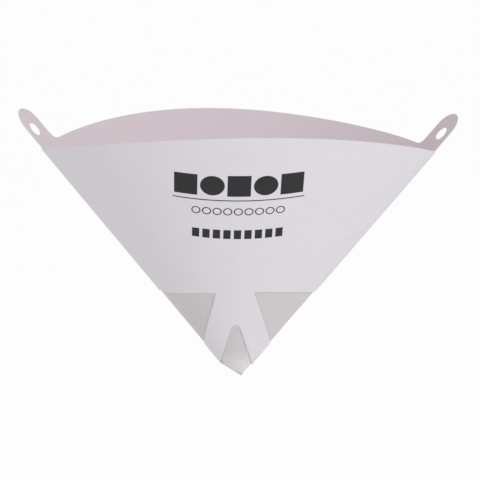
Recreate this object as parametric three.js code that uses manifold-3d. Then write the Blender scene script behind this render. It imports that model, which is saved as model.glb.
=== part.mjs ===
// A disposable paint strainer: a printed paper cone with two hanging ears and a fine nylon mesh in its tip.
// The paper is one flat blank, drawn and punched flat here, scored along its fold lines and folded round into
// the open cone. Millimetres, +Z up. The cone hangs tip down, with its creases to the left and right and its
// front towards -Y. The origin is halfway between the two hanging holes.
import * as THREE from "three";
import { mergeVertices } from "three/addons/utils/BufferGeometryUtils.js";
import { ConvexGeometry } from "three/addons/geometries/ConvexGeometry.js";
import Module from "manifold-3d";

const wasm = await Module();
wasm.setup();

// Sheet sizes
const slantLength = 125; // apex to rim, along the paper
const paperThickness = 0.3;
const meshThickness = 0.2;
const glueFilm = 0.1; // between the paper and what is stuck to it

// How far the folded cone is opened
const creaseLean = 39.6; // each side crease from the vertical, in degrees
const frontBulge = 30.4; // the middle of the front from the vertical, in degrees
const backBulge = 30.4;
const panelRoundness = 79; // half the arc that each panel's section follows, in degrees
const frontSkew = -0.06; // share by which a panel bulges more towards the right crease
const backSkew = 0.13;

// The blank's rim, ears and holes
const earWidth = 14.5;
const earLength = 17.5; // beyond the rim
const earInset = 0.8; // from the crease to the ear's outer edge
const earFillet = 3.5;
const holeDiameter = 6;
const holeFromRim = 7.6; // rim to hole centre, along the ear
const holeFromCrease = 7.0;

// The windows punched for the mesh, and the straps left between them
const windowRadius = 50; // apex to the windows' upper edge
const waistWidth = 14.8; // paper left between two windows at that edge
const frontNeckTurn = 2.3; // that paper lies this far left of the front's middle, in degrees
const strapWidth = 9.7;
const strapSplay = 13; // each strap from the panel's middle line, in degrees
const windowCorner = 1.6;
const notchRadius = 1.8; // the rounded top of the notch between two straps
const punchReach = 0.3; // past both faces of the paper

// The glued lap that closes the cone at its right crease
const lapAngle = 5.4; // in degrees at the apex
const lapOverlap = 1; // of the lap's outline over the front panel's, in degrees
const lapRimGap = 2.5; // the lap stops this far below the rim
const lapWindowGap = 2.5; // and this far above the windows
const edgeAngle = 0.35; // from the right crease to the cut edge that the lap covers, in degrees
const turnedAngle = 0.12; // from that crease to the other cut edge, which is turned round it

// The nylon mesh
const meshMargin = 8; // glued above the windows' upper edge
const tipLeft = 9.6; // apex to the tip's seam along the left crease
const tipRight = 3.0; // and along the right crease
const tipShoulder = 2.0; // height over which the tip closes to its seam
const seamDepth = 0.4; // pressed shut at the tip
const tipHollow = 0.1; // left between the two layers just above the seam

// Facets
const facetsPerPanel = 16;
const rimSteps = 1; // on an arc about the apex, from one fold line to the next
const arcSegments = 6; // to each arc of an outline
const onLine = 1e-5; // corners closer to a fold line than this lie on it
const sameCorner = 1e-5; // corners closer to each other than this are one
const wideFacet = 0.084; // share of a panel's section in the flat stretch beside each crease

const radians = THREE.MathUtils.degToRad;
const flat = (along, across) => new THREE.Vector2(along, across);

// The opened cone, as directions from the apex

// A panel's direction at a point of its section: side is -1 for the front and 1 for the back.
function sectionDirection(side, turn) {
  const roundness = radians(panelRoundness);
  const bulge = side < 0 ? frontBulge : backBulge;
  const skew = side < 0 ? frontSkew : backSkew;
  const across = Math.sin(turn) / Math.sin(roundness);
  const bow = (Math.cos(turn) - Math.cos(roundness)) / (1 - Math.cos(roundness));
  return new THREE.Vector3(
    Math.tan(radians(creaseLean)) * across,
    side * Math.tan(radians(bulge)) * bow * (1 + skew * across),
    1,
  ).normalize();
}

// A panel's fold lines from the left crease to the right one, with a wide flat facet at each end.
function panelDirections(side) {
  const half = radians(panelRoundness);
  const inner = half * (1 - 2 * wideFacet);
  const turns = [-half];
  const between = facetsPerPanel - 2;
  for (let i = 0; i <= between; i++) turns.push(inner * ((2 * i) / between - 1));
  turns.push(half);
  return turns.map((turn) => sectionDirection(side, turn));
}

const frontDirections = panelDirections(-1);
const backDirections = panelDirections(1);
const rightCrease = frontDirections.at(-1);

// The flat blank's fold lines: an angle on the flat sheet and a direction in space for each. The left crease
// lies at 0, the back panel at positive angles, the front panel at negative ones and the lap beyond it.
function measured(directions, sign) {
  let angle = 0;
  return directions.map((direction, i) => {
    if (i) angle += sign * directions[i - 1].angleTo(direction);
    return { angle, direction };
  });
}
const backLines = measured(backDirections, 1);
const frontLines = measured(frontDirections, -1);
const backAngle = backLines.at(-1).angle;
const frontAngle = -frontLines.at(-1).angle;

// A fold line of the lap, the given angle past the right crease, over the back panel.
function lapLine(angle, lift) {
  const next = backDirections.at(-2);
  const wide = rightCrease.angleTo(next);
  const direction = rightCrease
    .clone()
    .multiplyScalar(Math.sin(wide - angle))
    .addScaledVector(next, Math.sin(angle))
    .normalize();
  return { angle: -frontAngle - angle, direction, lift };
}
const lapLift = paperThickness + glueFilm;
const foldLines = [
  lapLine(radians(lapAngle), lapLift),
  lapLine(radians(edgeAngle), lapLift),
  ...frontLines.slice(1).reverse(),
  ...backLines,
];

// Outward normals of the facets, and at each fold line the mitre that keeps both walls parallel.
const facetNormals = foldLines
  .slice(1)
  .map((line, i) => foldLines[i].direction.clone().cross(line.direction).normalize());

function mitre(before, after) {
  return before.clone().add(after).divideScalar(1 + before.dot(after));
}
const lineNormals = foldLines.map((line, i) => {
  const before = facetNormals[Math.max(i - 1, 0)];
  const after = facetNormals[Math.min(i, facetNormals.length - 1)];
  return mitre(before, after);
});

// Where a point of the flat sheet lies on the opened cone, at a height above the paper's inner face.
function folded(u, v, height) {
  const radius = Math.hypot(u, v);
  const angle = Math.atan2(v, u);
  const near = onLine / radius;
  let facet = foldLines.findLastIndex((line) => line.angle <= angle + near);
  facet = THREE.MathUtils.clamp(facet, 0, facetNormals.length - 1);
  const [low, high] = [foldLines[facet], foldLines[facet + 1]];
  const wide = high.angle - low.angle;
  const share = (angle - low.angle) / wide;
  const place = low.direction
    .clone()
    .multiplyScalar((radius * Math.sin(wide * (1 - share))) / Math.sin(wide))
    .addScaledVector(high.direction, (radius * Math.sin(wide * share)) / Math.sin(wide));
  let normal = facetNormals[facet];
  if (Math.abs(share) * wide < near) normal = lineNormals[facet];
  if (Math.abs(1 - share) * wide < near) normal = lineNormals[facet + 1];
  const lift = THREE.MathUtils.lerp(low.lift ?? 0, high.lift ?? 0, share);
  return place.addScaledVector(normal, height + lift);
}

// Closed solids, for adding and cutting

function solidOf(geometry) {
  const bare = geometry.clone();
  bare.deleteAttribute("normal");
  bare.deleteAttribute("uv");
  const merged = mergeVertices(bare, sameCorner);
  return new wasm.Manifold(
    new wasm.Mesh({
      numProp: 3,
      vertProperties: new Float32Array(merged.attributes.position.array),
      triVerts: new Uint32Array(merged.index.array),
    }),
  );
}

function geometryOf(solid) {
  const mesh = solid.getMesh();
  const geometry = new THREE.BufferGeometry();
  geometry.setAttribute("position", new THREE.BufferAttribute(mesh.vertProperties, 3));
  geometry.setIndex(new THREE.BufferAttribute(mesh.triVerts, 1));
  return geometry;
}

// A flat outline as a plate of paper, or as a punch that passes through it.
function plate(shape, turn = 0) {
  const geometry = new THREE.ExtrudeGeometry(shape, {
    depth: paperThickness,
    bevelEnabled: false,
    curveSegments: arcSegments,
  });
  return solidOf(geometry.rotateZ(turn));
}

function punch(shape, turn = 0) {
  const geometry = new THREE.ExtrudeGeometry(shape, {
    depth: paperThickness + 2 * punchReach,
    bevelEnabled: false,
    curveSegments: arcSegments,
  });
  return solidOf(geometry.translate(0, 0, -punchReach).rotateZ(turn));
}

// The outlines on the flat sheet

// A ring sector about the apex, with a corner at each of the given angles.
function sectorShape(inner, outer, angles) {
  const arc = (radius) => angles.map((angle) => flat(radius, 0).rotateAround(flat(0, 0), angle));
  return new THREE.Shape([...arc(outer), ...arc(inner).reverse()]);
}

// Angles from one to another that take in every fold line between them, with steps between the lines.
function arcAngles(from, to) {
  const within = foldLines.map((line) => line.angle).filter((angle) => angle > from && angle < to);
  const lines = [from, ...within, to];
  return lines.flatMap((angle, i) => {
    if (i === lines.length - 1) return [angle];
    const step = (lines[i + 1] - angle) / rimSteps;
    return Array.from({ length: rimSteps }, (_, k) => angle + k * step);
  });
}

// The straps' outer and inner edges meet the panel's middle line, extended, at these distances.
const splay = radians(strapSplay);
const waistAlong = Math.sqrt(windowRadius ** 2 - (waistWidth / 2) ** 2);
const outerApex = waistAlong + waistWidth / 2 / Math.tan(splay);
const innerApex = outerApex - strapWidth / Math.sin(splay);

// The notch between two straps, open to the tip, about the panel's middle line. Its round top may be turned
// from that line with the neck above it.
function notchShape(neckTurn = 0) {
  const shape = new THREE.Shape();
  const centre = flat(innerApex - notchRadius / Math.sin(splay), 0).rotateAround(flat(0, 0), neckTurn);
  const foot = innerApex * Math.tan(splay);
  shape.moveTo(0, -foot);
  shape.lineTo(centre.x + notchRadius * Math.sin(splay), centre.y - notchRadius * Math.cos(splay));
  shape.absarc(centre.x, centre.y, notchRadius, splay - Math.PI / 2, Math.PI / 2 - splay, false);
  shape.lineTo(0, foot);
  return shape;
}

// One window, folded over a crease that lies along the sheet's first axis, with a panel on each side of it.
// The panels' middle lines lie at half their angles, and a panel's neck may be turned from its middle line.
function windowShape(angleBelow, angleAbove, turnBelow = 0, turnAbove = 0) {
  // where a strap's outer edge meets the upper arc and the crease, for the panel above the crease
  const waistTurn = Math.asin(waistWidth / 2 / windowRadius);
  const footRadius = (half) => (outerApex * Math.sin(splay)) / Math.sin(half + splay);
  const below = angleBelow / 2;
  const above = angleAbove / 2;
  const cornerTurn = windowCorner / windowRadius;
  const onArc = (angle) => flat(windowRadius, 0).rotateAround(flat(0, 0), angle);
  const arcStart = waistTurn - below + turnBelow;
  const arcEnd = above - waistTurn + turnAbove;
  const topBelow = onArc(arcStart);
  const topAbove = onArc(arcEnd);
  const foot = flat((footRadius(below) + footRadius(above)) / 2, 0);
  const step = (from, to) => to.clone().sub(from).setLength(windowCorner).add(from);
  const shape = new THREE.Shape();
  const start = onArc(arcStart + cornerTurn);
  shape.moveTo(start.x, start.y);
  const arcSteps = 2 * arcSegments;
  for (let i = 1; i <= arcSteps; i++) {
    const point = onArc(THREE.MathUtils.lerp(arcStart + cornerTurn, arcEnd - cornerTurn, i / arcSteps));
    shape.lineTo(point.x, point.y);
  }
  const rounded = (corner, before, after) => {
    const [enter, leave] = [step(corner, before), step(corner, after)];
    shape.lineTo(enter.x, enter.y);
    shape.quadraticCurveTo(corner.x, corner.y, leave.x, leave.y);
  };
  const leaving = step(topAbove, foot);
  shape.quadraticCurveTo(topAbove.x, topAbove.y, leaving.x, leaving.y);
  rounded(foot, topAbove, topBelow);
  const arriving = step(topBelow, foot);
  shape.lineTo(arriving.x, arriving.y);
  shape.quadraticCurveTo(topBelow.x, topBelow.y, start.x, start.y);
  return shape;
}

// An ear beside a crease that lies along the first axis, on the side of positive second coordinate.
function earShape() {
  const shape = new THREE.Shape();
  const radius = earWidth / 2;
  const end = slantLength + earLength - radius;
  const inner = earInset + earWidth;
  const root = slantLength - 2 * earFillet; // inside the rim, so that the outlines overlap
  const rimAlong = Math.sqrt(slantLength ** 2 - inner ** 2);
  const filletAcross = inner + earFillet;
  const filletAlong = Math.sqrt(slantLength ** 2 - filletAcross ** 2);
  shape.moveTo(root, earInset);
  shape.lineTo(end, earInset);
  shape.absarc(end, earInset + radius, radius, -Math.PI / 2, Math.PI / 2, false);
  shape.lineTo(rimAlong + earFillet, inner);
  shape.quadraticCurveTo(rimAlong, inner, filletAlong, filletAcross);
  shape.lineTo(root, filletAcross);
  return shape;
}

function holeShape() {
  const shape = new THREE.Shape();
  shape.absarc(slantLength + holeFromRim, holeFromCrease, holeDiameter / 2, 0, 2 * Math.PI, false);
  return shape;
}

// The same outline on the other side of the first axis.
function mirrored(shape) {
  const points = shape.getPoints(arcSegments).map((point) => flat(point.x, -point.y));
  return new THREE.Shape(points.reverse());
}

// The flat blank: both panels and the lap, with ears added and holes, windows and notches punched out.
function flatBlank() {
  const edge = backAngle - radians(edgeAngle);
  const turned = -frontAngle - radians(turnedAngle);
  let blank = plate(sectorShape(tipRight, slantLength, arcAngles(turned, edge)));
  const lapRim = slantLength - lapRimGap;
  const lapFoot = windowRadius + lapWindowGap;
  const lapRoot = radians(lapOverlap) - frontAngle;
  const lapEdge = -frontAngle - radians(lapAngle);
  blank = blank.add(plate(sectorShape(lapFoot, lapRim, arcAngles(lapEdge, lapRoot))));
  blank = blank.add(plate(earShape()));
  blank = blank.add(plate(mirrored(earShape()), backAngle));
  const neckTurn = radians(frontNeckTurn);
  const punches = [
    punch(holeShape()),
    punch(mirrored(holeShape()), backAngle),
    punch(windowShape(frontAngle, backAngle, neckTurn, 0)),
    punch(windowShape(frontAngle, frontAngle, 0, neckTurn), -frontAngle),
    punch(windowShape(backAngle, backAngle), backAngle),
    punch(notchShape(neckTurn), -frontAngle / 2),
    punch(notchShape(), backAngle / 2),
  ];
  return punches.reduce((left, tool) => left.subtract(tool), blank);
}

// Scores the flat blank along one fold line: each triangle that the line crosses is split there.
function scored({ positions, triangles }, angle) {
  const [cos, sin] = [Math.cos(angle), Math.sin(angle)];
  const sides = positions.map(([u, v]) => {
    const distance = v * cos - u * sin;
    return Math.abs(distance) < onLine ? 0 : distance;
  });
  const crossed = new Map();
  const crossing = (i, j) => {
    const [a, b] = i < j ? [i, j] : [j, i];
    const key = `${a} ${b}`;
    if (!crossed.has(key)) {
      const share = sides[a] / (sides[a] - sides[b]);
      crossed.set(key, positions.length);
      positions.push(positions[a].map((value, axis) => value + share * (positions[b][axis] - value)));
    }
    return crossed.get(key);
  };
  // the line starts at the apex, so what lies behind the apex isn't scored
  const ahead = (i, j) => {
    const share = sides[i] / (sides[i] - sides[j]);
    const at = (axis) => positions[i][axis] + share * (positions[j][axis] - positions[i][axis]);
    return at(0) * cos + at(1) * sin > 0;
  };
  const split = triangles.flatMap((corners) => {
    const turned = [0, 1, 2].map((k) => [0, 1, 2].map((m) => corners[(k + m) % 3]));
    // one corner alone on its side of the line, or one corner on the line between two others
    const lone = turned.find(([a, b, c]) => sides[a] * sides[b] < 0 && sides[a] * sides[c] < 0);
    const through = turned.find(([a, b, c]) => sides[a] === 0 && sides[b] * sides[c] < 0);
    if (lone && ahead(lone[0], lone[1])) {
      const [a, b, c] = lone;
      const [ab, ac] = [crossing(a, b), crossing(a, c)];
      return [[a, ab, ac], [ab, b, c], [ab, c, ac]];
    }
    if (through && ahead(through[1], through[2])) {
      const [a, b, c] = through;
      const bc = crossing(b, c);
      return [[a, b, bc], [a, bc, c]];
    }
    return [corners];
  });
  return { positions, triangles: split };
}

// The paper: the blank scored along every fold line and folded into the open cone.
function foldedPaper() {
  const mesh = flatBlank().getMesh();
  const rows = (values, count, width) =>
    Array.from({ length: count }, (_, i) => [...values.slice(i * width, i * width + 3)]);
  const blank = {
    positions: rows(mesh.vertProperties, mesh.numVert, mesh.numProp),
    triangles: rows(mesh.triVerts, mesh.numTri, 3),
  };
  const sheet = foldLines.slice(1, -1).reduce((part, line) => scored(part, line.angle), blank);
  const places = sheet.positions.map(([u, v, height]) => folded(u, v, height));
  return new THREE.BufferGeometry().setFromPoints(places).setIndex(sheet.triangles.flat());
}

// The mesh: one skin inside the paper, closed along a short slanting seam at the tip.

const ring = [...frontDirections, ...backDirections.slice(1, -1).reverse()];
const ringNormals = ring.map((direction, i) => {
  const before = ring.at(i - 1).clone().cross(direction).normalize();
  const after = direction.clone().cross(ring[(i + 1) % ring.length]).normalize();
  return mitre(before, after).negate();
});
const seamLeft = ring[0].clone().multiplyScalar(tipLeft);
const seamRight = rightCrease.clone().multiplyScalar(tipRight);
const seamUp = new THREE.Vector3(seamLeft.z - seamRight.z, 0, seamRight.x - seamLeft.x).normalize();

// The solid inside the mesh's skin at a depth below the paper's inner face, up to a slant height.
function meshCore(depth, top, seamRise, seamHalf) {
  const shoulder = seamLeft.dot(seamUp) + tipShoulder;
  const points = ring.flatMap((direction, i) =>
    [top, shoulder / direction.dot(seamUp)].map((radius) =>
      direction.clone().multiplyScalar(radius).addScaledVector(ringNormals[i], -depth),
    ),
  );
  const along = seamRight.clone().sub(seamLeft).normalize();
  // the seam ends at this depth from the creases, which it meets at a slant
  const slanted = (crease) => depth / crease.clone().cross(along).length();
  const ends = [
    seamLeft.clone().addScaledVector(along, slanted(ring[0])),
    seamRight.clone().addScaledVector(along, -slanted(rightCrease)),
  ];
  for (const end of ends) {
    for (const half of [-seamHalf, seamHalf]) {
      points.push(end.clone().addScaledVector(seamUp, seamRise).setY(half));
    }
  }
  return solidOf(new ConvexGeometry(points));
}

// The inner solid passes the top, so the mesh is open there.
function meshSkin() {
  const top = windowRadius + meshMargin;
  const outer = meshCore(glueFilm, top, 0, meshThickness);
  const inner = meshCore(glueFilm + meshThickness, top + meshMargin, seamDepth, tipHollow / 2);
  return geometryOf(outer.subtract(inner));
}

// The assembly

const paperMaterial = new THREE.MeshStandardMaterial({ color: 0xdcdbe0, roughness: 0.75, metalness: 0 });
const meshMaterial = new THREE.MeshStandardMaterial({ color: 0xe6e3dc, roughness: 0.6, metalness: 0 });

const cone = new THREE.Group();
const paperCone = new THREE.Mesh(foldedPaper(), paperMaterial);
paperCone.name = "paper_cone";
const meshFilter = new THREE.Mesh(meshSkin(), meshMaterial);
meshFilter.name = "mesh_filter";
cone.add(paperCone, meshFilter);

// the origin is halfway between the hanging holes
const holeAlong = slantLength + holeFromRim;
const holeTurn = Math.atan2(holeFromCrease, holeAlong);
const holeRadius = Math.hypot(holeAlong, holeFromCrease);
const holes = [holeTurn, backAngle - holeTurn].map((angle) =>
  folded(holeRadius * Math.cos(angle), holeRadius * Math.sin(angle), paperThickness / 2),
);
cone.position.copy(holes[0].add(holes[1]).multiplyScalar(-0.5));

const strainer = new THREE.Group();
strainer.add(cone);

export default strainer;
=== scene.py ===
# %% [markdown]
# This lesson dresses a disposable paint strainer: a cone of printed paper with two punched ears and a fine
# nylon mesh in its tip. The solids that the script loads are plain and faceted. The real cone starts as one
# flat blank, so the lesson makes it the same way: cut the blank flat, score it, fold it round, glue the lap.

# %% Load the fixed frame
import bmesh
import bpy
import math
from mathutils import Matrix, Vector


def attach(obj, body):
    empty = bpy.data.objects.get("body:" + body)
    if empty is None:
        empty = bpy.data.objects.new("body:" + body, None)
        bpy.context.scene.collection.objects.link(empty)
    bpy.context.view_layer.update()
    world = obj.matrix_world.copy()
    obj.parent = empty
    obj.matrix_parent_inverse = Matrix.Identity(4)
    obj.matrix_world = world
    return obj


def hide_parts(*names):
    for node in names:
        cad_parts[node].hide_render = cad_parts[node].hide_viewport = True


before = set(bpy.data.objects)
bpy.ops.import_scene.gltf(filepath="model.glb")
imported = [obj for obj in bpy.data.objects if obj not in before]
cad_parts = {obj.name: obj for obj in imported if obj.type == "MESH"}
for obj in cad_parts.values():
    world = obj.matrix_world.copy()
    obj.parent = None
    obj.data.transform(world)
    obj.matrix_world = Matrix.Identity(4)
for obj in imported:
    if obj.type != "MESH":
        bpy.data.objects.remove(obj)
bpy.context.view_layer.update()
print("nodes", sorted(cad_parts))

# %% [markdown]
# The sizes are the blank's own, in millimetres, as a cutter of cardboard would note them. The function at
# the end takes a length or a place to metres, which is what every object here is measured in.

# %% Sizes of the blank and of the opened cone
SLANT = 125.0  # apex to rim, along the paper
PAPER, MESH, GLUE = 0.3, 0.2, 0.1  # thicknesses
CREASE_LEAN = 39.6  # side creases from the vertical, in degrees
FRONT_BULGE, BACK_BULGE = 30.4, 30.4  # the middle of each panel from the vertical
ROUNDNESS = 79.0  # half the arc of a panel's section
FRONT_SKEW, BACK_SKEW = -0.06, 0.13  # how much more each panel bulges towards its right crease
FLAT_SHARE = 0.084  # of a panel's section that stays flat beside each crease

# the ears, and the hole in each
EAR_WIDTH, EAR_LENGTH, EAR_INSET, EAR_FILLET = 14.5, 17.5, 0.8, 3.5
HOLE, HOLE_FROM_RIM, HOLE_FROM_CREASE = 6.0, 7.6, 7.0

# the windows' upper edge, the paper left between them, and the straps with their angle in degrees
WINDOW, WAIST, STRAP, SPLAY = 50.0, 14.8, 9.7, 13.0
WINDOW_CORNER, NOTCH = 1.6, 1.8
NECK_TURN = 2.3  # the front's neck lies this far left of the panel's middle, in degrees at the apex

# the glued lap and the two cut edges at the right crease, in degrees at the apex, and the lap's end gaps
LAP, EDGE, TURNED = 5.4, 0.35, 0.12
LAP_RIM_GAP, LAP_WINDOW_GAP = 2.5, 2.5

# the nylon mesh above the windows, and its seam at the tip
MESH_MARGIN, TIP_LEFT, TIP_RIGHT, TIP_SHOULDER = 8.0, 9.6, 3.0, 2.0

STRIPS = 64  # facets to a panel, fine enough to look round


def metres(millimetres):
    return millimetres / 1000


print("slant", metres(SLANT), "m, in", STRIPS, "strips to a panel")

# %% [markdown]
# Paper bends one way only, so an opened paper cone is made of straight lines from its apex. Each panel is a
# set of directions from the apex, between the left crease and the right one. Two neighbouring directions
# hold a flat strip of paper, and the angle between them is the same on the flat blank and on the cone.

# %% Directions of the fold lines
def direction(side, turn):
    half = math.radians(ROUNDNESS)
    bulge, skew = (FRONT_BULGE, FRONT_SKEW) if side < 0 else (BACK_BULGE, BACK_SKEW)
    across = math.sin(turn) / math.sin(half)
    bow = (math.cos(turn) - math.cos(half)) / (1 - math.cos(half))
    y = side * math.tan(math.radians(bulge)) * bow * (1 + skew * across)
    return Vector((math.tan(math.radians(CREASE_LEAN)) * across, y, 1)).normalized()


def panel(side):
    half = math.radians(ROUNDNESS)
    inner = half * (1 - 2 * FLAT_SHARE)
    steps = STRIPS - 2
    turns = [-half] + [inner * (2 * i / steps - 1) for i in range(steps + 1)] + [half]
    return [direction(side, turn) for turn in turns]


def measured(directions, sign):
    lines, angle = [], 0.0
    for i, line in enumerate(directions):
        angle += sign * directions[i - 1].angle(line) if i else 0.0
        lines.append((angle, line, 0.0))
    return lines


front, back = panel(-1), panel(1)
front_lines, back_lines = measured(front, -1), measured(back, 1)
FRONT_ANGLE, BACK_ANGLE = -front_lines[-1][0], back_lines[-1][0]


def lap_line(angle):
    wide = back[-1].angle(back[-2])
    line = back[-1] * math.sin(wide - angle) + back[-2] * math.sin(angle)
    return (-FRONT_ANGLE - angle, line.normalized(), PAPER + GLUE)


lap = [lap_line(math.radians(LAP)), lap_line(math.radians(EDGE))]
fold_lines = lap + front_lines[:0:-1] + back_lines
print("panels of", round(math.degrees(FRONT_ANGLE), 2), round(math.degrees(BACK_ANGLE), 2), "degrees")

# %% [markdown]
# Folding is then one rule for every point of the blank: find its strip, keep its distance from the apex,
# and move it to the strip's place on the cone. The paper has a thickness, so at a fold line a point is
# lifted along the mitre of both strips, and both walls stay parallel.

# %% Fold a point of the blank
strip_normals = [a[1].cross(b[1]).normalized() for a, b in zip(fold_lines, fold_lines[1:])]
line_normals = []
for i in range(len(fold_lines)):
    before, after = strip_normals[max(i - 1, 0)], strip_normals[min(i, len(strip_normals) - 1)]
    line_normals.append((before + after) / (1 + before.dot(after)))
NEAR = 1e-3  # a point this close to a fold line lies on it


def folded(u, v, height):
    radius, angle = math.hypot(u, v), math.atan2(v, u)
    near = NEAR / max(radius, NEAR)
    strip = sum(line[0] <= angle + near for line in fold_lines) - 1
    strip = min(max(strip, 0), len(strip_normals) - 1)
    low, high = fold_lines[strip], fold_lines[strip + 1]
    wide, past = high[0] - low[0], angle - low[0]
    place = low[1] * math.sin(wide - past) + high[1] * math.sin(past)
    normal = strip_normals[strip]
    if abs(past) < near:
        normal = line_normals[strip]
    if abs(wide - past) < near:
        normal = line_normals[strip + 1]
    lift = low[2] + (high[2] - low[2]) * past / wide
    return place * (radius / math.sin(wide)) + normal * (height + lift)


def polar(radius, angle):
    return Vector((radius * math.cos(angle), radius * math.sin(angle)))


hole_turn = math.atan2(HOLE_FROM_CREASE, SLANT + HOLE_FROM_RIM)
hole_radius = math.hypot(SLANT + HOLE_FROM_RIM, HOLE_FROM_CREASE)
holes = [folded(*polar(hole_radius, angle), PAPER / 2) for angle in (hole_turn, BACK_ANGLE - hole_turn)]
APEX = (holes[0] + holes[1]) / -2  # the frame's origin is halfway between the two ear holes
print("apex at", [round(x, 2) for x in APEX])

# %% [markdown]
# The camera comes before any piece, so that each one can be judged against the photograph as it is made. It
# looks slightly down on the cone, from a little to the left, with a long lens.

# %% Camera
VIEW_TURN, VIEW_DOWN, VIEW_ROLL = 3.0, 9.8, -0.85  # degrees
VIEW_DISTANCE, VIEW_ACROSS, VIEW_RISE = 625.0, 0.624, 58.57  # from the apex, in millimetres
LENS, SENSOR = 112.76, 36.0  # in millimetres
CLIP_START = 0.01  # in metres


def add_camera():
    turn, down, roll = (math.radians(x) for x in (VIEW_TURN, VIEW_DOWN, VIEW_ROLL))
    ahead = Vector((math.sin(turn) * math.cos(down), math.cos(turn) * math.cos(down), -math.sin(down)))
    right = Vector((math.cos(turn), -math.sin(turn), 0))
    up = right.cross(ahead)
    eye = APEX + VIEW_ACROSS * right + VIEW_RISE * up - VIEW_DISTANCE * ahead
    rolled_right = math.cos(roll) * right - math.sin(roll) * up
    rolled_up = math.sin(roll) * right + math.cos(roll) * up
    data = bpy.data.cameras.new("camera")
    data.lens, data.sensor_width = LENS, SENSOR
    data.clip_start = CLIP_START
    camera = bpy.data.objects.new("camera", data)
    bpy.context.collection.objects.link(camera)
    axes = Matrix((rolled_right, rolled_up, -ahead)).transposed()
    camera.matrix_world = Matrix.Translation(metres(eye)) @ axes.to_4x4()
    bpy.context.scene.camera = camera
    print("camera at", [round(x, 4) for x in camera.location])


add_camera()

# %% [markdown]
# The colours of paper, ink and nylon are noted as they look on a screen, and a material is a tree of nodes.
# Four helpers keep both short: one for colours, one for a new material, one for a node and one for a Math
# node.

# %% Helpers for colours and nodes
def linear(*values):
    """A colour written as 0 to 255 on screen, as the renderer wants it."""
    channels = [v / 255 for v in values]
    return tuple(c / 12.92 if c < 0.04045 else ((c + 0.055) / 1.055) ** 2.4 for c in channels) + (1.0,)


def material(name):
    made = bpy.data.materials.new(name)
    made.use_nodes = True
    return made, made.node_tree, made.node_tree.nodes["Principled BSDF"]


def node(tree, kind, **settings):
    made = tree.nodes.new(kind)
    for key, value in settings.items():
        setattr(made, key, value)
    return made


def calc(tree, operation, *inputs):
    """One Math node, with numbers or sockets as its inputs."""
    made = node(tree, "ShaderNodeMath", operation=operation)
    for socket, value in zip(made.inputs, inputs):
        if isinstance(value, (int, float)):
            socket.default_value = value
        else:
            tree.links.new(value, socket)
    return made.outputs[0]


print("a screen's 128 is", round(linear(128)[0], 3), "to the renderer")

# %% [markdown]
# Light in the photograph is soft and comes mostly from the front right, so the left third of the cone falls
# off to a slightly pink grey. A pale world gives the soft part and one large lamp gives the direction.

# %% Light and surroundings
WORLD_STRENGTH, WORLD_COLOUR = 0.78, (1.0, 0.955, 0.965, 1)
KEY_PLACE, KEY_SIZE = (0.62, -0.95, 0.45), 0.6  # in metres
KEY_POWER, KEY_COLOUR = 4.3, (0.96, 0.98, 1.0)
WHITE = (1, 1, 1, 1)


def seen_directly(tree):
    """1 for what the camera sees, also in a gloss or through a clear piece, and 0 for what gives light."""
    path = node(tree, "ShaderNodeLightPath")
    seen = calc(tree, "MAXIMUM", path.outputs["Is Camera Ray"], path.outputs["Is Glossy Ray"])
    return calc(tree, "MAXIMUM", seen, path.outputs["Is Transmission Ray"])


def add_world():
    world = bpy.data.worlds.new("studio")
    world.use_nodes = True
    tree = world.node_tree
    soft = tree.nodes["Background"]
    soft.inputs["Color"].default_value = WORLD_COLOUR
    soft.inputs["Strength"].default_value = WORLD_STRENGTH
    white = node(tree, "ShaderNodeBackground")
    white.inputs["Color"].default_value = WHITE
    mix = node(tree, "ShaderNodeMixShader")
    tree.links.new(seen_directly(tree), mix.inputs[0])
    tree.links.new(soft.outputs[0], mix.inputs[1])
    tree.links.new(white.outputs[0], mix.inputs[2])
    tree.links.new(mix.outputs[0], tree.nodes["World Output"].inputs[0])
    bpy.context.scene.world = world


def add_key_lamp():
    data = bpy.data.lights.new("key", "AREA")
    data.size, data.energy, data.color = KEY_SIZE, KEY_POWER, KEY_COLOUR
    lamp = bpy.data.objects.new("key", data)
    bpy.context.collection.objects.link(lamp)
    lamp.location = KEY_PLACE
    lamp.rotation_euler = (-Vector(KEY_PLACE)).to_track_quat("-Z", "Y").to_euler()


add_world()
add_key_lamp()
bpy.context.scene.view_settings.view_transform = "Standard"
print("world", WORLD_STRENGTH, "and key lamp", KEY_POWER, "W")

# %% [markdown]
# The floor is a plain pale sheet well below the hanging tip. It sweeps up behind the cone as a
# photographer's paper roll does, so no horizon shows.

# %% Floor with a swept back
FLOOR_Z, FLOOR_HALF, SWEEP = -0.30, 3.0, 1.2  # height, half the width and radius of the sweep, in metres
SWEEP_STEPS = 16
FLOOR_COLOUR = (0.95, 0.95, 0.95, 1)
FLOOR_WHITE = 0.93  # share of plain white in what the camera sees of it, so that a soft shadow is left


def swept_sheet():
    bm = bmesh.new()
    side = [bm.verts.new((x, -FLOOR_HALF, FLOOR_Z)) for x in (-FLOOR_HALF, FLOOR_HALF)]
    pushed = bmesh.ops.extrude_edge_only(bm, edges=[bm.edges.new(side)])["geom"]
    ends = [g for g in pushed if isinstance(g, bmesh.types.BMVert)]
    lines = [g for g in pushed if isinstance(g, bmesh.types.BMEdge)]
    bmesh.ops.translate(bm, verts=ends, vec=(0, 2 * FLOOR_HALF, 0))
    centre = (0, FLOOR_HALF, FLOOR_Z + SWEEP)
    bmesh.ops.spin(bm, geom=ends + lines, cent=centre, axis=(1, 0, 0), angle=math.pi / 2, steps=SWEEP_STEPS)
    bmesh.ops.recalc_face_normals(bm, faces=bm.faces)
    return bm


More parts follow.
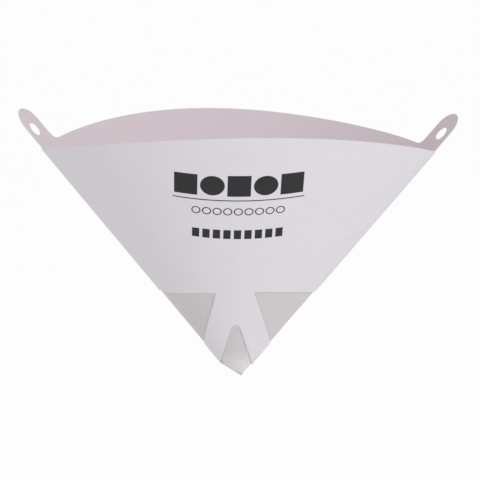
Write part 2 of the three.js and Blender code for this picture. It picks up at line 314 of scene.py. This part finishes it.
def pale_floor():
    made, tree, shader = material("pale_floor")
    shader.inputs["Base Color"].default_value = FLOOR_COLOUR
    shader.inputs["Roughness"].default_value = 1.0
    shader.inputs["Specular IOR Level"].default_value = 0.0
    white = node(tree, "ShaderNodeEmission")
    seen = calc(tree, "MULTIPLY", seen_directly(tree), FLOOR_WHITE)
    mix = node(tree, "ShaderNodeMixShader")
    tree.links.new(seen, mix.inputs[0])
    tree.links.new(shader.outputs[0], mix.inputs[1])
    tree.links.new(white.outputs[0], mix.inputs[2])
    tree.links.new(mix.outputs[0], tree.nodes["Material Output"].inputs[0])
    return made


def add_floor():
    bm = swept_sheet()
    data = bpy.data.meshes.new("floor")
    bm.to_mesh(data)
    bm.free()
    data.materials.append(pale_floor())
    floor = bpy.data.objects.new("floor", data)
    bpy.context.collection.objects.link(floor)
    print("floor of", len(data.polygons), "faces")


add_floor()

# %% [markdown]
# The blank is drawn as one closed outline on the flat sheet, with the apex at the origin and the left
# crease along the first axis. The back panel lies above that crease and the front panel below it. The ears
# belong to the back panel, and the lap is the narrow flap beyond the front panel's other crease.

# %% Outline of the blank
ARC_STEPS, RIM_STEPS, LAP_STEPS = 12, 96, 4


def arc(centre, radius, start, end, steps=ARC_STEPS):
    return [centre + polar(radius, start + (end - start) * i / steps) for i in range(steps + 1)]


def eased(start, corner, end):
    """A curve that leaves its start towards the corner and reaches its end from there."""
    shares = [i / ARC_STEPS for i in range(ARC_STEPS + 1)]
    return [start * (1 - t) ** 2 + corner * 2 * t * (1 - t) + end * t**2 for t in shares]


def ear():
    """From the rim beside the crease, round the ear's end, and down into the fillet on the rim."""
    radius, inner = EAR_WIDTH / 2, EAR_INSET + EAR_WIDTH
    end = Vector((SLANT + EAR_LENGTH - radius, EAR_INSET + radius))
    on_rim = Vector((math.sqrt(SLANT**2 - inner**2), inner))
    leave, land = on_rim + Vector((EAR_FILLET, 0)), Vector((0, inner + EAR_FILLET))
    land.x = math.sqrt(SLANT**2 - land.y**2)
    root = Vector((math.sqrt(SLANT**2 - EAR_INSET**2), EAR_INSET))
    return [root] + arc(end, radius, -math.pi / 2, math.pi / 2) + eased(leave, on_rim, land)


def mirrored(points, crease):
    """The same outline beside another crease, on its lower side, in the opposite order."""
    flipped = [Vector((p.x, -p.y)) for p in reversed(points)]
    return [Matrix.Rotation(crease, 2) @ p for p in flipped]


def blank_outline():
    apex = Vector((0, 0))
    lap_end, turned = -FRONT_ANGLE - math.radians(LAP), -FRONT_ANGLE - math.radians(TURNED)
    edge = BACK_ANGLE - math.radians(EDGE)
    left = ear()
    ear_end = math.atan2(left[-1].y, left[-1].x)
    return (
        arc(apex, SLANT - LAP_RIM_GAP, lap_end, turned, LAP_STEPS)
        + arc(apex, SLANT, turned, 0, RIM_STEPS)
        + left
        + arc(apex, SLANT, ear_end, BACK_ANGLE - ear_end, RIM_STEPS)[1:-1]
        + mirrored(left, BACK_ANGLE)
        + [polar(SLANT, edge)]
        + arc(apex, TIP_RIGHT, edge, turned)
        + arc(apex, WINDOW + LAP_WINDOW_GAP, turned, lap_end, LAP_STEPS)
    )


print("blank outline of", len(blank_outline()), "points")

# %% [markdown]
# What is punched out is drawn the same way: a round hole in each ear, a window over each side crease and a
# notch between each pair of straps. The straps splay from a narrow neck. Their outer edges, made longer,
# meet on the panel's middle line above the neck, and their inner edges meet below it, at the notch's top.

# %% Outlines of the punches
WINDOW_STEPS, HOLE_STEPS = 48, 32
splay = math.radians(SPLAY)
waist_along = math.sqrt(WINDOW**2 - (WAIST / 2) ** 2)
outer_apex = waist_along + WAIST / 2 / math.tan(splay)
inner_apex = outer_apex - STRAP / math.sin(splay)


def notch(middle, turn=0):
    """An arch from the tip up to the neck, with its round top turned aside as the neck is."""
    centre = polar(inner_apex - NOTCH / math.sin(splay), turn)
    foot = inner_apex * math.tan(splay)
    points = [Vector((0, -foot))] + arc(centre, NOTCH, splay - math.pi / 2, math.pi / 2 - splay)
    return [Matrix.Rotation(middle, 2) @ p for p in points + [Vector((0, foot))]]


def rounded(corner, before, after):
    enter = corner + (before - corner).normalized() * WINDOW_CORNER
    leave = corner + (after - corner).normalized() * WINDOW_CORNER
    return eased(enter, corner, leave)


def window(crease, below, above, turn_below=0, turn_above=0):
    """A window across a crease, up to the necks of the panels below and above it on the flat sheet."""
    turn = math.asin(WAIST / 2 / WINDOW)
    foot_at = [outer_apex * math.sin(splay) / math.sin(angle / 2 + splay) for angle in (below, above)]
    foot = Vector((sum(foot_at) / 2, 0))
    start, end = turn - below / 2 + turn_below, above / 2 - turn + turn_above
    top = arc(Vector((0, 0)), WINDOW, start, end, WINDOW_STEPS)
    points = rounded(top[0], foot, top[2]) + top[2:-2] + rounded(top[-1], top[-3], foot)
    points += rounded(foot, top[-1], top[0])
    return [Matrix.Rotation(crease, 2) @ p for p in points]


def hole(turn):
    return arc(polar(hole_radius, turn), HOLE / 2, 0, 2 * math.pi, HOLE_STEPS)[:-1]


print("straps' edges meet", round(inner_apex, 1), "and", round(outer_apex, 1), "mm from the apex")

# %% [markdown]
# A plate is an outline filled with one face and extruded. The blank is such a plate as thick as the paper,
# and every punch is a thicker plate that passes through it. A Boolean modifier for each punch does the
# punching. Its edges are clean here, because all cuts are upright through one flat plate.

# %% Punch the flat blank
PUNCH_REACH = 1.0  # to each side of the paper's inner face


def plate(name, points, low, high):
    bm = bmesh.new()
    face = bm.faces.new([bm.verts.new((*p, low)) for p in points])
    top = bmesh.ops.extrude_face_region(bm, geom=[face])["geom"]
    lifted = [g for g in top if isinstance(g, bmesh.types.BMVert)]
    bmesh.ops.translate(bm, verts=lifted, vec=(0, 0, high - low))
    bmesh.ops.recalc_face_normals(bm, faces=bm.faces)
    data = bpy.data.meshes.new(name)
    bm.to_mesh(data)
    bm.free()
    made = bpy.data.objects.new(name, data)
    bpy.context.collection.objects.link(made)
    return made


def punched_blank():
    blank = plate("blank", blank_outline(), 0, PAPER)
    neck_turn = math.radians(NECK_TURN)
    outlines = [
        hole(hole_turn),
        hole(BACK_ANGLE - hole_turn),
        window(0, FRONT_ANGLE, BACK_ANGLE, turn_below=neck_turn),
        window(-FRONT_ANGLE, FRONT_ANGLE, FRONT_ANGLE, turn_above=neck_turn),
        window(BACK_ANGLE, BACK_ANGLE, BACK_ANGLE),
        notch(-FRONT_ANGLE / 2, neck_turn),
        notch(BACK_ANGLE / 2),
    ]
    punches = [plate(f"punch_{i}", points, -PUNCH_REACH, PUNCH_REACH) for i, points in enumerate(outlines)]
    for punch in punches:
        cut = blank.modifiers.new(punch.name, "BOOLEAN")
        cut.operation, cut.solver, cut.object = "DIFFERENCE", "EXACT", punch
    view = bpy.context.evaluated_depsgraph_get()
    flat = bpy.data.meshes.new_from_object(blank.evaluated_get(view))
    for done in punches + [blank]:
        bpy.data.objects.remove(done)
    print("punched blank:", len(flat.vertices), "vertices,", len(flat.polygons), "faces")
    return flat


# %% [markdown]
# A carton maker scores a sheet before folding it. Here scoring is a bisect through the apex for every fold
# line, so that each strip of the blank has its own faces and stays flat when the blank is folded.

# %% Score the blank
SCORED_WITHIN = 1e-4  # a corner this close to a score isn't cut again


def scored_blank():
    bm = bmesh.new()
    bm.from_mesh(punched_blank())
    for angle, _, _ in fold_lines[1:-1]:
        across = Vector((-math.sin(angle), math.cos(angle), 0))
        everything = bm.verts[:] + bm.edges[:] + bm.faces[:]
        bmesh.ops.bisect_plane(bm, geom=everything, dist=SCORED_WITHIN, plane_co=(0, 0, 0), plane_no=across)
    print("scored blank:", len(bm.faces), "faces")
    return bm


paper_bm = scored_blank()

# %% [markdown]
# While the blank is flat, each corner gets its place on the sheet as its UV, in shares of a square that
# holds the whole blank. The print reads that UV later, so it runs over the folds as ink on real paper does.
# Each face also gets its slot now: one wall, the other wall, or the cut edge between them.

# %% Note the flat places
FLAT_UV = "flat_sheet"
UV_SQUARE, UV_MIDDLE = 300.0, 0.5  # the square's side in millimetres, and the apex in its middle
OUTSIDE, INSIDE, CUT = 0, 1, 2  # material slots of the paper
LEVEL = 0.01  # a face that rises less than this, in millimetres, lies in one wall of the sheet


def note_flat_places(bm):
    flat_place = bm.loops.layers.uv.new(FLAT_UV)
    for face in bm.faces:
        heights = [vert.co.z for vert in face.verts]
        level = max(heights) - min(heights) < LEVEL
        face.material_index = (OUTSIDE if heights[0] > PAPER / 2 else INSIDE) if level else CUT
        for loop in face.loops:
            loop[flat_place].uv = loop.vert.co.xy / UV_SQUARE + Vector((UV_MIDDLE, UV_MIDDLE))
    cut = sum(face.material_index == CUT for face in bm.faces)
    print(cut, "faces on cut edges,", len(bm.faces) - cut, "on the two walls")


note_flat_places(paper_bm)

# %% [markdown]
# Folding moves every point by the rule above. Facets of a wall that still lie in one plane are then joined,
# the faces on the cut edges stay as they are, and edges that turn sharply are shaded sharp.

# %% Fold the paper
MERGED_UNDER = math.radians(0.3)  # between two facets that become one
SHARP_OVER = math.radians(30)


def fold_paper(bm):
    for vert in bm.verts:
        vert.co = metres(folded(*vert.co) + APEX)
    walls_only = [edge for edge in bm.edges if all(f.material_index != CUT for f in edge.link_faces)]
    bmesh.ops.dissolve_limit(bm, angle_limit=MERGED_UNDER, edges=walls_only, delimit={"MATERIAL"})
    for edge in bm.edges:
        edge.smooth = len(edge.link_faces) == 2 and edge.calc_face_angle(0) < SHARP_OVER
    many_sided = [face for face in bm.faces if len(face.verts) > 4 and face.material_index != CUT]
    bmesh.ops.triangulate(bm, faces=many_sided)
    open_edges = sum(not edge.is_manifold for edge in bm.edges)
    print("folded paper:", len(bm.faces), "faces,", open_edges, "open edges")


def add_paper(bm):
    for face in bm.faces:
        face.smooth = True
    data = bpy.data.meshes.new("paper")
    bm.to_mesh(data)
    bm.free()
    made = bpy.data.objects.new("folded_paper", data)
    bpy.context.collection.objects.link(made)
    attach(made, "root")
    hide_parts("paper_cone")
    return made


fold_paper(paper_bm)
paper = add_paper(paper_bm)

# %% [markdown]
# The mesh is one sheet of nylon, glued behind the windows and pressed shut at the tip. Each of its points
# lies on a direction of the cone, inside the paper by the glue. It runs from the glued top edge down to a
# shoulder just above the tip, and from there to the short slanting seam.

# %% Points of the nylon mesh
CLOTH_ROWS = 12  # from the shoulder to the top edge
ring = front + back[-2:0:-1]  # the directions once round the cone
seam_left, seam_right = ring[0] * TIP_LEFT, front[-1] * TIP_RIGHT
along_seam = (seam_right - seam_left).normalized()
seam_up = Vector((-along_seam.z, 0, along_seam.x))
shoulder = seam_left.dot(seam_up) + TIP_SHOULDER
seam_start = seam_left + along_seam * GLUE / ring[0].cross(along_seam).length
seam_end = seam_right - along_seam * GLUE / front[-1].cross(along_seam).length


def on_seam(i):
    """From left to right, with the two layers one cloth's thickness before and behind the middle."""
    share = 0.5 + 0.5 * ring[i].x / ring[i].z / math.tan(math.radians(CREASE_LEAN))
    return seam_start.lerp(seam_end, share) + Vector((0, math.copysign(MESH, ring[i].y), 0))


def on_cone(i, row):
    """Row 0 is the shoulder, and the last row is the top edge."""
    line = ring[i]
    before = ring[i - 1].cross(line).normalized()
    after = line.cross(ring[(i + 1) % len(ring)]).normalized()
    inward = (before + after) / (1 + before.dot(after))
    low = shoulder / line.dot(seam_up)
    return line * (low + (WINDOW + MESH_MARGIN - low) * row / CLOTH_ROWS) + inward * GLUE


print("seam of", round((seam_end - seam_start).length, 2), "mm")

# %% [markdown]
# Rings make the cloth: one for the seam, pressed flat, one at the shoulder and one at the top of each row.
# Each starts as a circle with as many points as there are directions, and its points move to their places.
# Bridging the rings makes one sheet, and Solidify thickens it into the cone, away from the paper.

# %% Nylon mesh
def mesh_sheet():
    bm = bmesh.new()
    loops = []
    for row in range(-1, CLOTH_ROWS + 1):
        circle = bmesh.ops.create_circle(bm, segments=len(ring), radius=1)["verts"]
        for i, vert in enumerate(circle):
            vert.co = on_seam(i) if row < 0 else on_cone(i, row)
        loops.append([edge for vert in circle for edge in vert.link_edges])
    for low, high in zip(loops, loops[1:]):
        bmesh.ops.bridge_loops(bm, edges=list(dict.fromkeys(low + high)))
    bmesh.ops.recalc_face_normals(bm, faces=bm.faces)
    return bm


def front_view_uv(bm):
    front_view = bm.loops.layers.uv.new("cloth")
    for face in bm.faces:
        for loop in face.loops:
            place = loop.vert.co / UV_SQUARE
            loop[front_view].uv = (place.x + UV_MIDDLE, place.z)


def add_mesh():
    bm = mesh_sheet()
    front_view_uv(bm)
    for face in bm.faces:
        face.smooth = True
    for vert in bm.verts:
        vert.co = metres(vert.co + APEX)
    data = bpy.data.meshes.new("mesh")
    bm.to_mesh(data)
    print("nylon mesh:", len(bm.faces), "faces round", len(ring), "directions")
    bm.free()
    made = bpy.data.objects.new("nylon_mesh", data)
    bpy.context.collection.objects.link(made)
    thick = made.modifiers.new("thickness", "SOLIDIFY")
    thick.thickness = metres(MESH)
    thick.offset = 1  # the whole thickness on the side of the normals, which is the inside
    return made


mesh = add_mesh()
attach(mesh, "root")
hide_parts("mesh_filter")

# %% [markdown]
# Flat, the nylon is a wide fan: it has the cone's own developed angle and the radius of its top edge. The
# cut is the rectangle round that fan, and the glued paper holds the cloth stretched.

# %% [markdown]
# The print on the front is drawn where a press would put it, on the flat sheet. The UV goes back to
# millimetres, with one axis up the front panel's middle and the other across it. Ink could be thin pieces on
# top of the paper, but it has no height that shows, so it is part of the paper's colour.

# %% Axes of the print
PRINT_SHIFT = 2.0  # the print's middle lies this far left of the panel's middle


def flat_axes(tree):
    """Two sockets: millimetres up the front panel's middle line, and across it."""
    place = node(tree, "ShaderNodeUVMap", uv_map=FLAT_UV)
    turned = node(tree, "ShaderNodeMapping", vector_type="POINT")
    middle = FRONT_ANGLE / 2
    apex = Vector((UV_MIDDLE, UV_MIDDLE)) * UV_SQUARE
    turned.inputs["Scale"].default_value = (UV_SQUARE,) * 3
    turned.inputs["Rotation"].default_value = (0, 0, middle)
    turned.inputs["Location"].default_value = (*(Matrix.Rotation(middle, 2) @ -apex), 0)
    tree.links.new(place.outputs[0], turned.inputs[0])
    split = node(tree, "ShaderNodeSeparateXYZ")
    tree.links.new(turned.outputs[0], split.inputs[0])
    return split.outputs[0], calc(tree, "SUBTRACT", split.outputs[1], PRINT_SHIFT)


print("print turned by", round(math.degrees(FRONT_ANGLE / 2), 2), "degrees on the flat sheet")

# %% [markdown]
# A mask is 1 where there is ink and 0 elsewhere. Two masks multiplied leave what both of them cover, and
# their maximum leaves what either covers. A row of shapes is one shape in a cell that repeats across.

# %% Masks of the print
CELLS_ADDED = 100  # keeps the place across above zero, where MODULO repeats evenly


def within(tree, value, middle, half):
    """1 where the value lies within half of the middle."""
    return calc(tree, "COMPARE", value, middle, half)


def area_mask(tree, axes, middle, half_height, half_width):
    up, across = axes
    high = within(tree, up, middle, half_height)
    return calc(tree, "MULTIPLY", high, within(tree, across, 0, half_width))


def from_cell_middle(tree, across, pitch, offset):
    raised = calc(tree, "ADD", across, CELLS_ADDED * pitch + pitch / 2 - offset)
    in_cell = calc(tree, "MODULO", raised, pitch)
    return calc(tree, "SUBTRACT", in_cell, pitch / 2)


def block_row(tree, axes, half_width, pitch, offset=0):
    return within(tree, from_cell_middle(tree, axes[1], pitch, offset), 0, half_width)


def disc_row(tree, axes, middle, radius, pitch, offset=0):
    sideways = from_cell_middle(tree, axes[1], pitch, offset)
    rise = calc(tree, "SUBTRACT", axes[0], middle)
    squares = [calc(tree, "MULTIPLY", x, x) for x in (sideways, rise)]
    return calc(tree, "LESS_THAN", calc(tree, "ADD", *squares), radius * radius)


print("a row may start up to", CELLS_ADDED, "cells left of the middle")

# %% [markdown]
# From the top, the print is a row of large blocks and discs, a thin rule, a row of small rings and a row of
# small blocks, all in one dark ink. A ring is a disc less a smaller disc. The sizes are millimetres on the
# flat sheet, and each row's middle is measured from the apex.

# %% Rows of the print
TOP_MIDDLE, TOP_HALF_HEIGHT, TOP_HALF_WIDTH, TOP_PITCH = 103.0, 4.9, 24.6, 20.0
LARGE_BLOCK_HALF, LARGE_DISC = 4.4, 4.6
RULE_MIDDLE, RULE_HALF_HEIGHT, RULE_HALF_WIDTH = 96.1, 0.24, 25.0
RING_MIDDLE, RING_OUTER, RING_INNER = 90.8, 1.75, 1.3
LOW_MIDDLE, SMALL_BLOCK_HALF = 79.6, 1.4
SMALL_HALF_HEIGHT, SMALL_HALF_WIDTH, SMALL_PITCH = 2.2, 18.0, 4.0


def top_row(tree, axes):
    area = area_mask(tree, axes, TOP_MIDDLE, TOP_HALF_HEIGHT, TOP_HALF_WIDTH)
    blocks = block_row(tree, axes, LARGE_BLOCK_HALF, TOP_PITCH)
    discs = disc_row(tree, axes, TOP_MIDDLE, LARGE_DISC, TOP_PITCH, TOP_PITCH / 2)
    return calc(tree, "MULTIPLY", area, calc(tree, "MAXIMUM", blocks, discs))


def small_rows(tree, axes):
    ring_area = area_mask(tree, axes, RING_MIDDLE, SMALL_HALF_HEIGHT, SMALL_HALF_WIDTH)
    outer, inner = (disc_row(tree, axes, RING_MIDDLE, x, SMALL_PITCH) for x in (RING_OUTER, RING_INNER))
    rings = calc(tree, "MULTIPLY", ring_area, calc(tree, "SUBTRACT", outer, inner))
    low_area = area_mask(tree, axes, LOW_MIDDLE, SMALL_HALF_HEIGHT, SMALL_HALF_WIDTH)
    blocks = calc(tree, "MULTIPLY", low_area, block_row(tree, axes, SMALL_BLOCK_HALF, SMALL_PITCH))
    return calc(tree, "MAXIMUM", rings, blocks)


def ink_mask(tree):
    axes = flat_axes(tree)
    rule = area_mask(tree, axes, RULE_MIDDLE, RULE_HALF_HEIGHT, RULE_HALF_WIDTH)
    upper = calc(tree, "MAXIMUM", top_row(tree, axes), rule)
    return calc(tree, "MAXIMUM", upper, small_rows(tree, axes))


print("print", round(TOP_MIDDLE + TOP_HALF_HEIGHT - LOW_MIDDLE + SMALL_HALF_HEIGHT, 1), "mm high")

# %% [markdown]
# The paper is a smooth, slightly glossy coated stock, cool outside and a little pink inside. Its tone shifts
# softly in clouds, and its fibres stand up by a few hundredths of a millimetre. A picture of paper would
# repeat or blur at some distance, and noise does neither. A cut edge is whiter and rougher.

# %% Grain of the paper
CLOUD_SCALE, CLOUD_DETAIL = 90.0, 4.0
FIBRE_SCALE, FIBRE_DETAIL = 1500.0, 3.0
FIBRE_HEIGHT, FIBRE_STRENGTH = 0.05, 0.12  # in millimetres, and the share of it that shows


def noise(tree, place, scale, detail):
    made = node(tree, "ShaderNodeTexNoise")
    made.inputs["Scale"].default_value = scale
    made.inputs["Detail"].default_value = detail
    tree.links.new(place.outputs["Object"], made.inputs["Vector"])
    return made.outputs["Fac"]


def raise_surface(tree, shader, height, depth, strength):
    """Gives the shader a bump, with its depth in millimetres."""
    bump = node(tree, "ShaderNodeBump")
    bump.inputs["Strength"].default_value = strength
    bump.inputs["Distance"].default_value = metres(depth)
    tree.links.new(height, bump.inputs["Height"])
    tree.links.new(bump.outputs[0], shader.inputs["Normal"])


def grain(tree, shader):
    """Raises the fibres, and gives the clouds that the tone follows."""
    place = node(tree, "ShaderNodeTexCoord")
    fibres = noise(tree, place, FIBRE_SCALE, FIBRE_DETAIL)
    raise_surface(tree, shader, fibres, FIBRE_HEIGHT, FIBRE_STRENGTH)
    return noise(tree, place, CLOUD_SCALE, CLOUD_DETAIL)


print("fibres stand up by", metres(FIBRE_HEIGHT), "m")

# %% [markdown]
# Three slots take three materials, in the order of their numbers: the printed outside, the plain inside and
# the cut edge. Each is one tone blended into a slightly deeper one.

# %% Paper materials
COATED_ROUGH, UNCOATED_ROUGH, EDGE_ROUGH = 0.55, 0.8, 0.9
PAPER_SPECULAR = 0.35
INK = (33, 33, 36)


def blended(tree, share, first, second):
    mix = node(tree, "ShaderNodeMix", data_type="RGBA")
    tree.links.new(share, mix.inputs["Factor"])
    for socket, colour in ((mix.inputs["A"], first), (mix.inputs["B"], second)):
        if isinstance(colour, tuple):
            socket.default_value = colour
        else:
            tree.links.new(colour, socket)
    return mix.outputs["Result"]


def paper_stock(name, pale, deep, roughness, printed=False):
    made, tree, shader = material(name)
    shader.inputs["Roughness"].default_value = roughness
    shader.inputs["Specular IOR Level"].default_value = PAPER_SPECULAR
    colour = blended(tree, grain(tree, shader), linear(*pale), linear(*deep))
    if printed:
        colour = blended(tree, ink_mask(tree), colour, linear(*INK))
    tree.links.new(colour, shader.inputs["Base Color"])
    paper.data.materials.append(made)


paper_stock("coated_outside", (222, 221, 226), (217, 216, 221), COATED_ROUGH, printed=True)
paper_stock("uncoated_inside", (214, 205, 210), (209, 199, 204), UNCOATED_ROUGH)
paper_stock("cut_edge", (226, 225, 227), (214, 213, 216), EDGE_ROUGH)
print("paper materials:", [made.name for made in paper.data.materials])

# %% [markdown]
# The mesh is woven nylon, pale and very slightly warm. From a step away its threads can't be told apart, so
# the weave is two crossed waves in the bump and the tone, and the cloth lets a little of what is behind it
# through. Towards the tip the cloth is painted paler, and the darker plain tone above that blend is painted
# shade at the notch's top.

# %% Nylon material
WEAVE_SCALE = 500.0
THREAD_HEIGHT, THREAD_STRENGTH = 0.08, 0.3  # in millimetres, and the share of it that shows
THREAD_LOW, THREAD_HIGH, PALE_TIP = (210, 208, 208), (221, 219, 219), (243, 243, 246)
NYLON_ROUGHNESS, NYLON_COVER = 0.5, 0.78  # the cover is the share that isn't seen through
# The cloth is painted paler towards the tip. The blend ends low, so the darker plain tone above it is
# painted shade at the notch's top, under the paper's edge.
PALE_TIP_FROM, PALE_TIP_TO = 1.5, 17.0  # above the apex, from the whitest cloth to the plain one


def weave(tree, place):
    heights = []
    for way in ("X", "Z"):
        threads = node(tree, "ShaderNodeTexWave", wave_type="BANDS", bands_direction=way)
        threads.inputs["Scale"].default_value = WEAVE_SCALE
        tree.links.new(place.outputs["Object"], threads.inputs["Vector"])
        heights.append(threads.outputs["Fac"])
    return calc(tree, "MAXIMUM", *heights)


def share_above_tip(tree, place):
    """0 at the pale tip and 1 where the cloth is plain, a tone that at the notch's top is painted shade."""
    split = node(tree, "ShaderNodeSeparateXYZ")
    tree.links.new(place.outputs["Object"], split.inputs[0])
    share = node(tree, "ShaderNodeMapRange", interpolation_type="SMOOTHSTEP")
    tree.links.new(split.outputs["Z"], share.inputs["Value"])
    share.inputs["From Min"].default_value = metres(APEX.z + PALE_TIP_FROM)
    share.inputs["From Max"].default_value = metres(APEX.z + PALE_TIP_TO)
    return share.outputs["Result"]


def add_nylon():
    made, tree, shader = material("woven_nylon")
    place = node(tree, "ShaderNodeTexCoord")
    height = weave(tree, place)
    raise_surface(tree, shader, height, THREAD_HEIGHT, THREAD_STRENGTH)
    plain = blended(tree, height, linear(*THREAD_LOW), linear(*THREAD_HIGH))
    # painted paler at the tip and darker above, where it stands for the shade at the notch's top
    colour = blended(tree, share_above_tip(tree, place), linear(*PALE_TIP), plain)
    tree.links.new(colour, shader.inputs["Base Color"])
    shader.inputs["Roughness"].default_value = NYLON_ROUGHNESS
    shader.inputs["Alpha"].default_value = NYLON_COVER
    mesh.data.materials.append(made)


add_nylon()
print("nylon whitens below", round(metres(APEX.z + PALE_TIP_TO), 4), "m")
